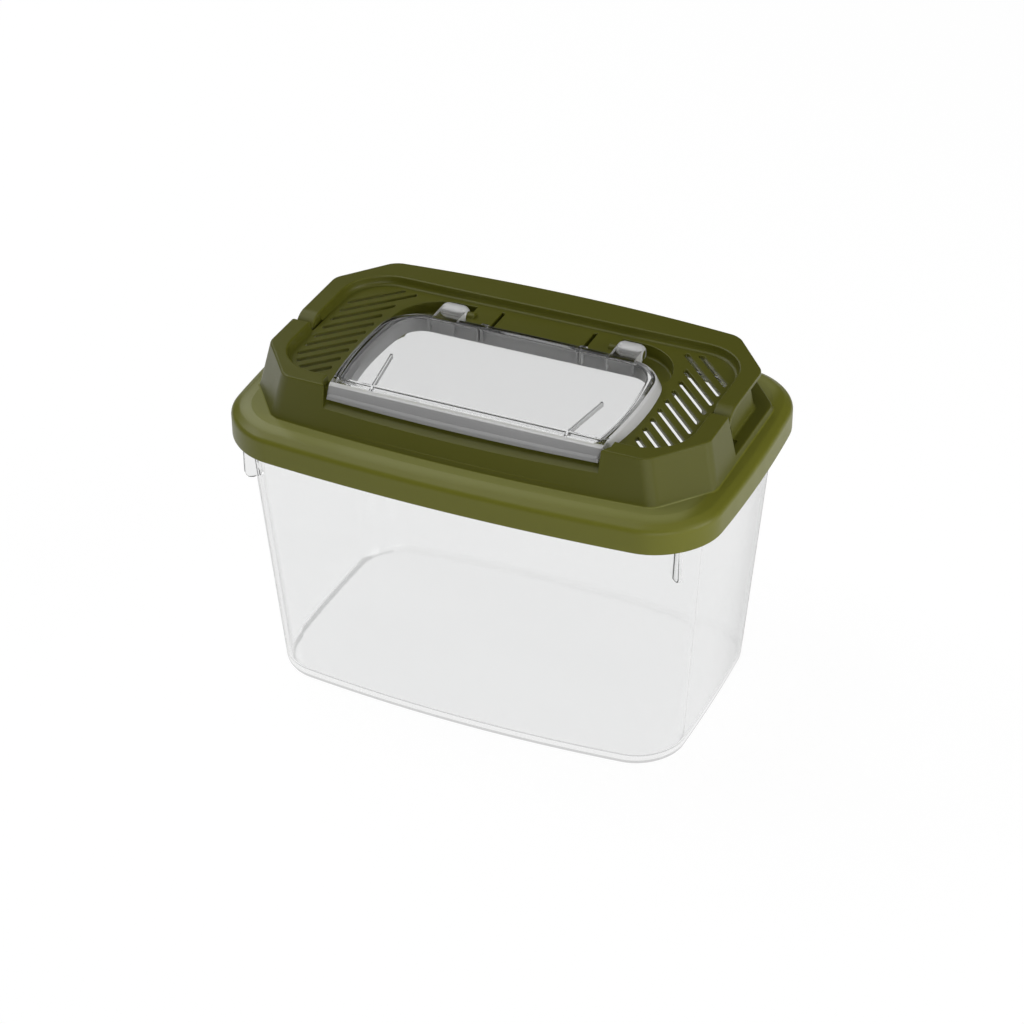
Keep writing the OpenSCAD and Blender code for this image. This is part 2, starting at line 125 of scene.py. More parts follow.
def corner_arc(before, corner, after, radius, steps):
    """Arc that rounds a corner between its two neighbours."""
    corner = Vector(corner)
    a = (Vector(before) - corner).normalized()
    b = (Vector(after) - corner).normalized()
    half = math.acos(max(-1.0, min(1.0, a.dot(b)))) / 2
    start = corner + a * radius / math.tan(half)
    centre = corner + (a + b).normalized() * radius / math.sin(half)
    first = math.atan2(start.y - centre.y, start.x - centre.x)
    turn = math.pi - 2 * half
    return [
        centre + radius * Vector((math.cos(first + turn * k / steps), math.sin(first + turn * k / steps)))
        for k in range(steps + 1)
    ]


def soft_polygon(corners, radii, parts, steps=ROUND_STEPS):
    """A convex polygon with rounded corners; parts says how finely each side is divided."""
    n = len(corners)
    arcs = [corner_arc(corners[i - 1], corners[i], corners[(i + 1) % n], radii[i], steps) for i in range(n)]
    points = []
    for i in range(n):
        points += arcs[i]
        for k in range(1, parts[i]):
            points.append(arcs[i][-1].lerp(arcs[(i + 1) % n][0], k / parts[i]))
    return points


def bowed(points, half_x, half_y, front, back, ends):
    """Pushes the sides of an outline out along parabolas."""
    out = []
    for p in points:
        side = front if p.y < 0 else back
        along_x = max(0.0, 1 - (p.x / half_x) ** 2)
        along_y = max(0.0, 1 - (p.y / half_y) ** 2)
        x = p.x + math.copysign(ends * along_y * min(1.0, abs(p.x) / half_x), p.x)
        y = p.y + math.copysign(side * along_x * min(1.0, abs(p.y) / half_y), p.y)
        out.append(Vector((x, y)))
    return out


def rounded_box(left, right, front, back, front_radius, back_radius, parts=(1, 1, 1, 1), steps=ROUND_STEPS):
    return soft_polygon(
        [(left, front), (right, front), (right, back), (left, back)],
        [front_radius, front_radius, back_radius, back_radius],
        parts,
        steps,
    )


def base_outline(inset):
    """Outline of the tank's foot."""
    x, y, radius = BASE_HALF_X - inset, BASE_HALF_Y - inset, BASE_RADIUS - inset
    box = rounded_box(-x, x, -y, y, radius, radius, LONG_PARTS, 14)
    return bowed(box, x, y, 5.6, 5.6, 1.3)


def rim_outline(inset):
    """Outline of the lid's rim, which the tank's mouth follows inside it."""
    x, y, radius = RIM_HALF_X - inset, RIM_HALF_Y - inset, RIM_RADIUS - inset
    box = rounded_box(-x, x, -y, y, radius, radius, LONG_PARTS, 14)
    return bowed(box, x, y, 5.1, 5.1, 2.95)


def raised_outline(half_x, front, back, front_bow):
    """Eight-sided outline of the lid's raised top."""
    cut = half_x - CORNER_CUT
    corners = [
        (-cut, -front), (cut, -front), (half_x, CORNER_RUN - front), (half_x, back - CORNER_RUN),
        (cut, back), (-cut, back), (-half_x, back - CORNER_RUN), (-half_x, CORNER_RUN - front),
    ]
    ring = soft_polygon(corners, [CORNER_ROUND] * 8, (28, 2, 2, 2, 28, 2, 2, 2), 10)
    return bowed(ring, cut, min(front, back), front_bow, REAR_BOW, 0.0)


def raised_foot(inset):
    return raised_outline(FOOT_HALF - inset, FOOT_FRONT - inset, FOOT_REAR - inset, FOOT_BOW)


def raised_top(inset):
    return raised_outline(TOP_HALF - inset, TOP_FRONT - inset, TOP_REAR - inset, TOP_BOW)


def block_outline(half_x, front, bow, inset):
    """Outline of the raised front band with its two corner blocks."""
    half_x, front = half_x - inset, front - inset
    cut, back = half_x - CORNER_CUT, BLOCK_BACK - inset
    corners = [
        (-cut, -front), (cut, -front), (half_x, CORNER_RUN - front), (half_x, back),
        (-half_x, back), (-half_x, CORNER_RUN - front),
    ]
    wide, tight = CORNER_ROUND, 0.7
    ring = soft_polygon(corners, [wide, wide, wide, tight, tight, wide], (28, 2, 2, 1, 2, 2), 10)
    return bowed(ring, cut, front, bow, 0.0, 0.0)


def block_foot(inset):
    return block_outline(FOOT_HALF, FOOT_FRONT, FOOT_BOW, inset)


def block_top(inset):
    return block_outline(TOP_HALF, TOP_FRONT, TOP_BOW, inset)


def recess_outline(grow):
    """Outline of the sunk floor, and of the handle's inner edge."""
    x, front, back, radius = 81.8 + grow, -38.5 - grow, 39.0 + grow, 18.0 + grow
    return rounded_box(-x, x, front, back, radius, radius, steps=16)


def opening_outline(grow):
    """Outline of the feeding opening in the sunk floor."""
    return barrel_outline(51.6, -39.2, 19.2, 3.0, 9.5, 0.0, 3.0, grow)


def barrel_outline(half_x, front, back, front_radius, back_radius, back_bow, end_bow, grow):
    """A rounded box whose rear edge and ends bulge, set round the door's own middle."""
    middle, half_x = DOOR_MIDDLE, half_x + grow
    front, back = front - grow - middle, back + grow - middle
    ring = rounded_box(
        -half_x, half_x, front, back, front_radius + grow, back_radius + grow, DOOR_PARTS, DOOR_STEPS
    )
    ring = bowed(ring, half_x, max(-front, back), 0.0, back_bow, end_bow)
    return [Vector((p.x, p.y + middle)) for p in ring]


def door_top_outline(grow):
    """Outline of the door's flat top."""
    return barrel_outline(DOOR_HALF, -40.3, 16.4, 3.0, 13.0, 2.3, 2.0, grow)


def door_foot_outline(grow):
    """Outline of the flared sides where they meet the sunk floor."""
    return barrel_outline(55.2, -42.1, 18.2, 5.0, 14.0, 2.3, 4.2, grow)


def polyline_eased(corners, radii, steps=5):
    """A profile that turns clockwise, with its corners rounded."""
    points = [Vector(corners[0])]
    for before, corner, after, radius in zip(corners, corners[1:], corners[2:], radii):
        points += reversed(corner_arc(after, corner, before, radius, steps))
    points.append(Vector(corners[-1]))
    return [(p.x, p.y) for p in points]


def blend_rings(first, last, share):
    return [a.lerp(b, share) for a, b in zip(first, last)]


def quarter(radius, steps=4):
    """Insets and drops of a rounded edge, from its upright side to its flat top."""
    return [
        (radius * (1 - math.cos(math.pi / 2 * k / steps)), radius * (1 - math.sin(math.pi / 2 * k / steps)))
        for k in range(steps + 1)
    ]


# Solids

workshop = bpy.data.collections.new("workshop")
bpy.context.scene.collection.children.link(workshop)


def solid(points, faces, name="solid"):
    mesh = bpy.data.meshes.new(name)
    mesh.from_pydata([tuple(p) for p in points], [], faces)
    mesh.update()
    made = bpy.data.objects.new(name, mesh)
    workshop.objects.link(made)
    return made


def skin(rows):
    """A closed solid over rows of equally many points, with a cap on the first and the last row."""
    n = len(rows[0])
    faces = [
        (i * n + k, i * n + (k + 1) % n, (i + 1) * n + (k + 1) % n, (i + 1) * n + k)
        for i in range(len(rows) - 1)
        for k in range(n)
    ]
    faces.append(tuple(reversed(range(n))))
    faces.append(tuple((len(rows) - 1) * n + k for k in range(n)))
    return solid([point for row in rows for point in row], faces)


def loft(rings, heights):
    """A closed solid through a stack of outlines with equally many points."""
    return skin([[(p.x, p.y, z) for p in ring] for ring, z in zip(rings, heights)])


def stack(outline, levels):
    """A loft of one outline at several (inset, height) levels."""
    return loft([outline(inset) for inset, z in levels], [z for inset, z in levels])


def leaning_stack(outline, levels):
    """A stack whose outline changes with the height too."""
    return loft([outline(inset, z) for inset, z in levels], [z for inset, z in levels])


def block(low, high):
    x0, y0, z0 = low
    x1, y1, z1 = high
    ring = [Vector(p) for p in ((x0, y0), (x1, y0), (x1, y1), (x0, y1))]
    return loft([ring, ring], [z0, z1])


def along_x(profiles, stations):
    """Profiles in Y and Z, counterclockwise seen from +X, joined along X."""
    return skin([[(x, y, z) for y, z in profile] for profile, x in zip(profiles, stations)])


def circle(radius, y, z, count=48):
    return [
        (y + radius * math.cos(2 * math.pi * k / count), z + radius * math.sin(2 * math.pi * k / count))
        for k in range(count)
    ]


def rod(radius, x0, x1, y, z, ease=0.0):
    """A round bar along X with eased ends."""
    if not ease:
        return along_x([circle(radius, y, z)] * 2, [x0, x1])
    levels = list(reversed(quarter(ease, 3)))
    stations = [x0 + drop for inset, drop in levels] + [x1 - drop for inset, drop in reversed(levels)]
    radii = [radius - inset for inset, drop in levels]
    return along_x([circle(r, y, z) for r in radii + radii[::-1]], stations)


def facing_out(made):
    """Turns a solid's faces outwards."""
    work = bmesh.new()
    work.from_mesh(made.data)
    bmesh.ops.recalc_face_normals(work, faces=work.faces)
    if work.calc_volume(signed=True) < 0:
        bmesh.ops.reverse_faces(work, faces=work.faces)
    work.to_mesh(made.data)
    work.free()
    return made


def bake(made):
    """Applies the modifiers of a solid."""
    bpy.context.view_layer.update()
    shaped = made.evaluated_get(bpy.context.evaluated_depsgraph_get())
    mesh = bpy.data.meshes.new_from_object(shaped)
    made.modifiers.clear()
    old = made.data
    made.data = mesh
    bpy.data.meshes.remove(old)
    return made


def combine(made, others, operation):
    """Joins or cuts a solid with others, which are used up; a solver that changes nothing gives way."""
    for other in others:
        before = len(made.data.polygons)
        for solver in ("MANIFOLD", "EXACT"):
            joint = made.modifiers.new("join", "BOOLEAN")
            joint.operation = operation
            joint.object = other
            joint.solver = solver
            bpy.context.view_layer.update()
            shaped = made.evaluated_get(bpy.context.evaluated_depsgraph_get())
            count = len(shaped.data.polygons)
            if count > 4 and not (count == before and solver == "MANIFOLD"):
                break
            if solver == "MANIFOLD":
                made.modifiers.clear()
        bake(made)
        bpy.data.objects.remove(other)
    return made


def cut(made, *others):
    return combine(made, others, "DIFFERENCE")


def join(made, *others):
    return combine(made, others, "UNION")


def mirrored(made):
    """A copy on the other end of the object."""
    mesh = made.data.copy()
    mesh.transform(Matrix.Scale(-1, 4, (1, 0, 0)))
    mesh.flip_normals()
    copy = bpy.data.objects.new(made.name, mesh)
    workshop.objects.link(copy)
    return copy


def on_both_ends(made):
    """A solid and its mirror image."""
    return mirrored(made), made


def finished(made, name, node, materials, choose=None, crease=32.0):
    """Cleans a solid, puts it in the object's frame and lets it stand for its node."""
    work = bmesh.new()
    work.from_mesh(made.data)
    bmesh.ops.remove_doubles(work, verts=work.verts, dist=0.004)
    bmesh.ops.dissolve_degenerate(work, edges=work.edges, dist=0.004)
    loose = [v for v in work.verts if not v.link_faces]
    bmesh.ops.delete(work, geom=loose, context="VERTS")
    work.to_mesh(made.data)
    work.free()
    mesh = made.data
    mesh.transform(Matrix.Scale(MM, 4))
    mesh.shade_smooth()
    mesh.set_sharp_from_angle(angle=math.radians(crease))
    even = made.modifiers.new("even", "WEIGHTED_NORMAL")
    even.mode = "FACE_AREA"
    even.keep_sharp = True
    bake(made)
    made.name = name
    made.data.name = name
    workshop.objects.unlink(made)
    bpy.context.scene.collection.objects.link(made)
    made.data.materials.clear()
    for material in materials:
        made.data.materials.append(material)
    for face in made.data.polygons:
        face.material_index = choose(face.center / MM, face.normal) if choose else 0
    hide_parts(node)
    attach(made, node)
    return made


# Shader groups

def new_group(name, inputs, outputs):
    group = bpy.data.node_groups.new(name, "ShaderNodeTree")
    for label, kind, value in inputs:
        socket = group.interface.new_socket(name=label, in_out="INPUT", socket_type=kind)
        socket.default_value = value
    for label, kind in outputs:
        group.interface.new_socket(name=label, in_out="OUTPUT", socket_type=kind)
    return group, group.nodes.new("NodeGroupInput"), group.nodes.new("NodeGroupOutput")


def math_node(nodes, links, operation, first, second):
    node = nodes.new("ShaderNodeMath")
    node.operation = operation
    for i, value in enumerate((first, second)):
        if isinstance(value, (int, float)):
            node.inputs[i].default_value = value
        else:
            links.new(value, node.inputs[i])
    return node.outputs[0]


def eased_range(nodes, links, value, low, high, first=0.0, last=1.0):
    """Goes smoothly from one number to another while a value goes from low to high."""
    node = nodes.new("ShaderNodeMapRange")
    node.interpolation_type = "SMOOTHSTEP"
    for label, number in (("From Min", low), ("From Max", high), ("To Min", first), ("To Max", last)):
        node.inputs[label].default_value = number
    links.new(value, node.inputs["Value"])
    return node.outputs[0]


def mixed_colour(nodes, links, share, first, second):
    """A blend of two colours, each given as numbers or as a socket."""
    node = nodes.new("ShaderNodeMix")
    node.data_type = "RGBA"
    links.new(share, node.inputs["Factor"])
    for label, colour in (("A", first), ("B", second)):
        if isinstance(colour, tuple):
            node.inputs[label].default_value = colour
        else:
            links.new(colour, node.inputs[label])
    return node.outputs["Result"]


def mixed_shader(nodes, links, share, first, second):
    node = nodes.new("ShaderNodeMixShader")
    for socket, source in zip(node.inputs, (share, first, second)):
        links.new(source, socket)
    return node.outputs[0]


def place_axes(nodes, links, kind):
    """The X, Y and Z of a point in the object's own or in generated coordinates."""
    place = nodes.new("ShaderNodeTexCoord")
    axes = nodes.new("ShaderNodeSeparateXYZ")
    links.new(place.outputs[kind], axes.inputs[0])
    return axes.outputs


def grey(value):
    return (value, value, value, 1)


def moulded_surface_group():
    """Colour, roughness and height of moulded plastic: flow clouding, fine grain and handling scuffs."""
    group, given, result = new_group(
        "moulded_surface",
        [
            ("Colour", "NodeSocketColor", (0.5, 0.5, 0.5, 1)),
            ("Clouding", "NodeSocketFloat", 0.05),
            ("Roughness", "NodeSocketFloat", 0.3),
            ("Roughness Spread", "NodeSocketFloat", 0.05),
            ("Scuffs", "NodeSocketFloat", 0.1),
        ],
        [
            ("Colour", "NodeSocketColor"),
            ("Roughness", "NodeSocketFloat"),
            ("Height", "NodeSocketFloat"),
        ],
    )
    nodes, links = group.nodes, group.links
    place = nodes.new("ShaderNodeTexCoord")

    def noise(scale, detail, rough, stretch=None):
        made = nodes.new("ShaderNodeTexNoise")
        made.inputs["Scale"].default_value = scale
        made.inputs["Detail"].default_value = detail
        made.inputs["Roughness"].default_value = rough
        source = place.outputs["Object"]
        if stretch:
            mapping = nodes.new("ShaderNodeMapping")
            mapping.inputs["Scale"].default_value = stretch
            links.new(source, mapping.inputs["Vector"])
            source = mapping.outputs["Vector"]
        links.new(source, made.inputs["Vector"])
        return made.outputs["Fac"]

    flow = noise(22.0, 3.0, 0.55, (0.6, 1.0, 1.6))
    grain = noise(2600.0, 2.0, 0.6)
    ripple = noise(90.0, 2.0, 0.5)
    scratches = noise(420.0, 4.0, 0.7, (0.12, 1.0, 1.0))

    # Flow clouding darkens and lightens the colour a little.
    swing = math_node(nodes, links, "SUBTRACT", flow, 0.5)
    amount = math_node(nodes, links, "MULTIPLY", swing, given.outputs["Clouding"])
    gain = math_node(nodes, links, "ADD", amount, 1.0)
    tint = nodes.new("ShaderNodeVectorMath")
    tint.operation = "SCALE"
    links.new(given.outputs["Colour"], tint.inputs[0])
    links.new(gain, tint.inputs["Scale"])
    links.new(tint.outputs[0], result.inputs["Colour"])

    # Scuffs are the brightest streaks of the stretched noise.
    marks = nodes.new("ShaderNodeMapRange")
    marks.inputs["From Min"].default_value = 0.6
    marks.inputs["From Max"].default_value = 0.78
    links.new(scratches, marks.inputs["Value"])
    wear = math_node(nodes, links, "MULTIPLY", marks.outputs[0], given.outputs["Scuffs"])
    drift = math_node(nodes, links, "SUBTRACT", ripple, 0.5)
    spread = math_node(nodes, links, "MULTIPLY", drift, given.outputs["Roughness Spread"])
    even = math_node(nodes, links, "ADD", given.outputs["Roughness"], spread)
    worn = math_node(nodes, links, "ADD", even, wear)
    links.new(worn, result.inputs["Roughness"])

    soft = math_node(nodes, links, "MULTIPLY", ripple, 0.6)
    fine = math_node(nodes, links, "MULTIPLY", grain, 0.25)
    height = math_node(nodes, links, "ADD", soft, fine)
    deep = math_node(nodes, links, "MULTIPLY", wear, -0.3)
    links.new(math_node(nodes, links, "ADD", height, deep), result.inputs["Height"])
    return group


moulded_surface = moulded_surface_group()


def new_material(name):
    material = bpy.data.materials.new(name)
    material.use_nodes = True
    nodes = material.node_tree.nodes
    return material, nodes, material.node_tree.links, nodes["Principled BSDF"], nodes["Material Output"]


def lay_surface(nodes, links, shell, colour, clouding, roughness, spread, scuffs, relief):
    """Gives a shader the moulded surface in a colour."""
    surface = nodes.new("ShaderNodeGroup")
    surface.node_tree = moulded_surface
    values = {"Clouding": clouding, "Roughness": roughness, "Roughness Spread": spread, "Scuffs": scuffs}
    for label, value in values.items():
        surface.inputs[label].default_value = value
    links.new(colour, surface.inputs["Colour"])
    links.new(surface.outputs["Colour"], shell.inputs["Base Color"])
    links.new(surface.outputs["Roughness"], shell.inputs["Roughness"])
    bump = nodes.new("ShaderNodeBump")
    bump.inputs["Strength"].default_value = relief
    bump.inputs["Distance"].default_value = 0.0004
    links.new(surface.outputs["Height"], bump.inputs["Height"])
    links.new(bump.outputs["Normal"], shell.inputs["Normal"])


OLIVE_TOP = (0.112, 0.114, 0.012, 1)
# Lighter copy of the top's olive for the rim: painted light.
OLIVE_RIM_PAINTED_LIGHT = (0.178, 0.181, 0.020, 1)
# Paler olive for the shoulder: a painted sheen.
OLIVE_SHOULDER_PAINTED_SHEEN = (0.262, 0.268, 0.078, 1)


def olive_plastic_material():
    """Dark olive plastic; the lid's thin rim gets a lighter copy of it as painted light, and its sloping
    shoulder a paler one still as a painted sheen.
    """
    material, nodes, links, shell, _ = new_material("olive_moulded_plastic")
    axes = place_axes(nodes, links, "Object")
    above_rim = eased_range(nodes, links, axes["Z"], 119.1 * MM, 119.6 * MM)
    above_skirt = eased_range(nodes, links, axes["Z"], 118.0 * MM, 118.8 * MM)
    # The painted sheen leaves out the right-hand end of the shoulder, which lies in shade and keeps the rim's
    # painted tone.
    before_end = eased_range(nodes, links, axes["X"], 92.5 * MM, 86.5 * MM)
    in_rim = math_node(nodes, links, "SUBTRACT", 1.0, above_rim)
    painted_sheen_share = math_node(nodes, links, "MULTIPLY", above_skirt, before_end)
    painted_sheen_share = math_node(nodes, links, "MULTIPLY", painted_sheen_share, in_rim)
    # Painted light and sheen mixed into the one olive colour by height.
    shade = mixed_colour(nodes, links, above_rim, OLIVE_RIM_PAINTED_LIGHT, OLIVE_TOP)
    shade = mixed_colour(nodes, links, painted_sheen_share, shade, OLIVE_SHOULDER_PAINTED_SHEEN)
    lay_surface(nodes, links, shell, shade, 0.14, 0.36, 0.10, 0.08, 0.12)
    shell.inputs["IOR"].default_value = 1.46
    shell.inputs["Specular IOR Level"].default_value = 0.35
    return material


def frosted_plastic_material(name, shade, shade_from_inside, clearness):
    """Clear plastic that the mould left hazy, in another shade where it is seen from inside; where the two
    shades differ, the difference is painted light and shade.
    """
    material, nodes, links, shell, _ = new_material(name)
    side = nodes.new("ShaderNodeNewGeometry")
    # Painted light and shade: the colour follows the side a face is seen from.
    colour = mixed_colour(nodes, links, side.outputs["Backfacing"], grey(shade), grey(shade_from_inside))
    lay_surface(nodes, links, shell, colour, 0.12, 0.14, 0.05, 0.03, 0.05)
    shell.inputs["Transmission Weight"].default_value = clearness
    shell.inputs["IOR"].default_value = 1.45
    return material


def clear_plastic_material(name, tint, edge, roughness, shadow):
    """Clear plastic, greyer where it is seen along its surface as painted shade; lamps shine through it."""
    material, nodes, links, shell, out = new_material(name)
    slant = nodes.new("ShaderNodeLayerWeight")
    slant.inputs["Blend"].default_value = 0.5
    # Painted shade: the colour greys towards a grazing view.
    painted_grazing_shade = eased_range(nodes, links, slant.outputs["Facing"], 0.74, 0.95)
    colour = mixed_colour(nodes, links, painted_grazing_shade, tint, grey(edge))
    lay_surface(nodes, links, shell, colour, 0.02, roughness, 0.01, 0.02, 0.03)
    shell.inputs["Transmission Weight"].default_value = 1.0
    shell.inputs["IOR"].default_value = 1.5
    path = nodes.new("ShaderNodeLightPath")
    through = nodes.new("ShaderNodeBsdfTransparent")
    through.inputs["Color"].default_value = grey(shadow)
    lit = mixed_shader(nodes, links, path.outputs["Is Shadow Ray"], shell.outputs[0], through.outputs[0])
    links.new(lit, out.inputs["Surface"])
    return material


olive_plastic = olive_plastic_material()
# Door walls whiter seen from outside the door than from within: painted light.
skirt_plastic = frosted_plastic_material("frosted_skirt_plastic", 0.37, 0.95, 0.2)
outer_plastic = frosted_plastic_material("frosted_outer_plastic", 0.95, 0.37, 0.2)
lip_plastic = frosted_plastic_material("frosted_lip_plastic", 0.45, 0.45, 0.25)
# Whitish plastic of the clips, also laid on the lip's brow as a painted highlight and under the right-hand
# ledge as painted light.
milky_and_highlight_plastic = frosted_plastic_material("milky_clip_and_highlight_plastic", 0.97, 0.97, 0.4)
# Near-black plastic along the pane's underside edge: painted shade.
painted_crease_shade_plastic = frosted_plastic_material("painted_shade_crease_plastic", 0.12, 0.12, 0.1)
tank_plastic = clear_plastic_material("clear_tank_plastic", (0.966, 0.969, 0.969, 1), 0.32, 0.012, 0.93)
# Grey plastic on the base's round edge: painted shade.
tank_edge_shade_plastic = clear_plastic_material("painted_shade_tank_edge_plastic", grey(0.5), 0.3, 0.02, 0.9)
door_plastic = clear_plastic_material("clear_door_plastic", (0.945, 0.947, 0.947, 1), 0.6, 0.012, 0.9)


# Tank

def make_tank():
    """The drafted walls, from the round base edge up over the flange and down to the inner floor."""
    rounded_base = [(2.6, 0.0), (1.85, 0.1), (1.1, 0.42), (0.5, 0.95), (0.13, 1.7), (0.0, 2.6)]
    flange = [
        (WALL_INSET, 111.6), (5.75, 112.0), (5.3, 112.35), (3.1, 113.0), (2.7, 113.2), (FLANGE_INSET, 113.5),
        (FLANGE_INSET, 115.3), (2.75, 115.65), (3.1, TANK_TOP), (7.2, TANK_TOP), (7.55, 115.65),
        (WALL_INSET + TANK_WALL, 115.3),
    ]
    floor = [(TANK_WALL, 5.4), (1.93, 4.4), (2.4, 3.45), (3.2, 2.75), (4.4, 2.4)]
    rows = [(base_outline(inset), z) for inset, z in rounded_base]
    rows += [(rim_outline(inset), z) for inset, z in flange]
    rows += [(base_outline(inset), z) for inset, z in floor]
    shell = loft([ring for ring, z in rows], [z for ring, z in rows])
    return join(shell, *corner_ribs())


def rib_profile(root, tip):
    """A corner rib's outline, as distances out from the corner's centre and heights."""
    top, low, bend = 113.05, 90.55, 3.0
    profile = [Vector((root, top)), Vector((root - 1, low))]
    for k in range(9):
        a = math.pi / 2 * k / 8
        profile.append(Vector((tip - bend + bend * math.sin(a), low + bend - bend * math.cos(a))))
    return profile + [Vector((tip, top))]


def corner_ribs():
    """Four short ribs that hang under the flange, square across the corners."""
    corner_x, corner_y = RIM_HALF_X - RIM_RADIUS, RIM_HALF_Y - RIM_RADIUS
    corner = (corner_x + corner_y) / math.sqrt(2)

    def reach(ring):
        return max((p.x + p.y) / math.sqrt(2) for p in ring) - corner

    half, soft = RIB_THICKNESS / 2, 0.25
    root = reach(rim_outline(WALL_INSET)) - TANK_WALL / 2
    profile = rib_profile(root, reach(rim_outline(FLANGE_INSET)) - 0.2)
    ribs = []
    for side, face in ((1, 1), (1, -1), (-1, 1), (-1, -1)):
        rows = []
        for offset, ease in ((-half, soft), (-half + soft, 0.0), (half - soft, 0.0), (half, soft)):
            row = []
            for i, p in enumerate(profile):
                along = p.x - (ease if i >= 2 else 0.0)
                up = p.y + (ease if 1 <= i < len(profile) - 2 else 0.0)
                x = corner_x + (along - offset) / math.sqrt(2)
                y = corner_y + (along + offset) / math.sqrt(2)
                row.append((side * x, face * y, up))
            rows.append(row)
        ribs.append(facing_out(skin(rows)))
    return ribs


# Lid

# Insets and heights where the raised top flares out into the shoulder
FOOT_FLARE = [
    (1.0, SKIRT_TOP), (-0.55, 118.9), (-0.34, 119.08), (-0.15, 119.25), (-0.03, 119.5), (0.0, 119.8),
]


def front_block():
    """Raised front band with its corner blocks, a soft foot and a rounded top edge."""
    def ring(inset, z):
        share = max(0.0, (z - SHOULDER) / (TOP - SHOULDER))
        return blend_rings(block_foot(inset), block_top(inset), share)

    return leaning_stack(ring, FOOT_FLARE + [(inset, TOP - drop) for inset, drop in quarter(0.55)])


def block_space(inset):
    """Space under the raised front band."""
    foot, top = block_foot(inset), block_top(inset)
    return loft([foot, foot, top], [TANK_TOP - 0.05, SHOULDER, TOP - inset])


def scooped_back():
    """Low back of the lid with its finger scoops and their ledge."""
    levels = FOOT_FLARE[:-1] + [
        (0.14, 119.8), (0.4, 120.85), (0.46, 121.1), (0.6, 121.3), (0.82, 121.44), (1.15, 121.5),
        (4.7, 121.66), (5.15, 121.76), (5.42, 121.98), (5.58, 122.35), (5.72, 123.0),
        (7.28, SUNK_FLOOR + 0.2),
    ]
    return stack(raised_foot, levels)


def scooped_space(inset):
    """Space under the low back."""
    levels = [
        (inset, TANK_TOP - 0.05), (inset, SHOULDER - inset), (inset + 0.54, 119.5), (inset + 5.54, 119.7),
        (inset + 7.24, SUNK_FLOOR - inset),
    ]
    return stack(raised_foot, levels)


def lid_shell():
    """The lid as one solid: skirt and shoulder, raised front and low back."""
    edge = [
        (0.6, SKIRT_FOOT), (0.0, SKIRT_FOOT), (0.0, SKIRT_TOP), (3.35, 118.3), (7.6, SHOULDER),
        (9.4, SHOULDER),
    ]
    body = stack(rim_outline, polyline_eased(edge, [0.55, 2.6, 4.0, 2.0]))
    return join(body, front_block(), scooped_back())


def recess_cutter():
    """The sunk floor, with a cove at its foot and a rounded upper edge."""
    return stack(recess_outline, [
        (-1.7, SUNK_FLOOR), (-1.15, 133.48), (-0.7, 133.75), (-0.42, 134.2), (-0.25, 135.0), (-0.02, 136.6),
        (0.12, 136.9), (0.38, 137.1), (0.75, 137.22), (1.1, ABOVE),
    ])


# Half the notch's width at several depths: close beside the lip, wide round the door's foot
NOTCH_SIDES = [(-60.0, 54.9), (-50.0, 54.9), (-46.0, 55.5), (-42.4, NOTCH_HALF), (-30.0, NOTCH_HALF)]
# Where the notch's slope lies at several heights, as its foot bends out to the front wall
NOTCH_FOOT = {
    120.9: -60.0, 121.0: -56.6, 122.0: -55.85, 123.0: -55.0, 124.0: -54.0, 125.0: -52.9, 126.0: -51.6,
    127.0: -50.1, 128.0: -48.5, 129.0: -47.0,
}
# How far its top edges are rounded back
NOTCH_LIFT = {137.0: 0.12, 137.15: 0.35, 137.25: 0.6, ABOVE: 0.6}


def notch_half_width(y):
    """Half the notch's width at a depth, between the places given above."""
    for (y0, x0), (y1, x1) in zip(NOTCH_SIDES, NOTCH_SIDES[1:]):
        if y <= y1:
            return x0 + (x1 - x0) * max(0.0, y - y0) / (y1 - y0)
    return NOTCH_HALF


def notch_ring(z):
    """Outline of the notch at a height, with its front edges eased."""
    ease, step = 0.45, 0.02
    slope_y = NOTCH_FOOT.get(z, NOTCH_SLOPE_Y - max(0.0, SUNK_FLOOR - z))
    if z > SUNK_FLOOR:
        slope_y = -37.0
    share = min(1.0, (z - SHOULDER) / (TOP - SHOULDER))
    wall_y = -(FOOT_FRONT + 1.3) * (1 - share) - TOP_FRONT * share
    lift = NOTCH_LIFT.get(z, 0.0)
    side, y = [], slope_y
    for stop, _ in reversed(NOTCH_SIDES[1:-1]):
        y = min(y - step, stop)
        side.append((notch_half_width(y) + lift, y))
    for k in range(4, -1, -1):
        dip = ease * k / 4
        y = min(y - step, wall_y + dip)
        flare = ease - math.sqrt(max(0.0, ease ** 2 - (ease - dip) ** 2))
        side.append((notch_half_width(y) + lift + flare, y))
    side.append((side[-1][0] + 0.01, -70.0))
    back = notch_half_width(slope_y) + lift
    ring = [Vector((back, slope_y)), Vector((-back, slope_y))]
    return ring + [Vector((-x, y)) for x, y in side] + [Vector((x, y)) for x, y in reversed(side)]


def notch_cutter():
    """Clears the front band under the door's lip, narrower towards the front."""
    heights = sorted(NOTCH_FOOT) + [130.5, 132.0, SUNK_FLOOR, 133.42, 135.0, 136.75] + sorted(NOTCH_LIFT)
    return loft([notch_ring(z) for z in heights], heights)


def well_outline(grow, radii):
    """Outline of the right-hand hinge well."""
    left, right, front, back = WELL_LEFT - grow, WELL_RIGHT + grow, WELL_FRONT - grow, WELL_REAR + grow
    corners = [(left, front), (right, front), (right, back), (left, back)]
    return soft_polygon(corners, radii, (1, 1, 1, 1), 12)


def well_cutter():
    """A hinge well with a rounded bottom."""
    def outline(grow):
        return well_outline(grow, [1.3 + grow, 1.9 + grow, 20 + grow, 1.3 + grow])

    return stack(outline, [
        (-1.0, WELL_FLOOR), (-0.6, 128.06), (-0.25, 128.3), (-0.05, 128.7), (0.0, 129.1), (0.0, 133.1),
        (0.08, 133.28), (0.28, 133.41), (0.6, 134.0), (0.6, ABOVE),
    ])


